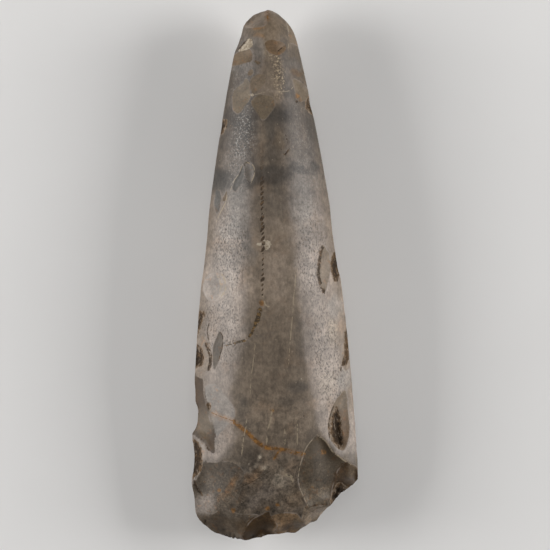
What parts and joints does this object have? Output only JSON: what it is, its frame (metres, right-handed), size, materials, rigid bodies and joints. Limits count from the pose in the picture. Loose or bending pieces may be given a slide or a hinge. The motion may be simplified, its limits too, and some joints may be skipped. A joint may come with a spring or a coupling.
{
  "type": "polished stone axe head",
  "caption": "Polished flint axe head with a rounded flaked butt, sides that widen to the blade, a lens-shaped section and a chipped, curved cutting edge.",
  "frame": {"origin": "middle of the bounding box's base, on the flat of the under face that the stone rests on", "axes": "+Y along the stone to the butt, -Y to the cutting edge, +X to the right seen from above with the butt up, +Z out of the upper broad face"},
  "size_m": [0.067, 0.2118, 0.0363],
  "materials": {
    "flint": "ground and polished flint: satin, mottled grey-beige, with duller brown flake scars"
  },
  "bodies": {
    "root": {"axe_head": "flint"}
  },
  "joints": []
}
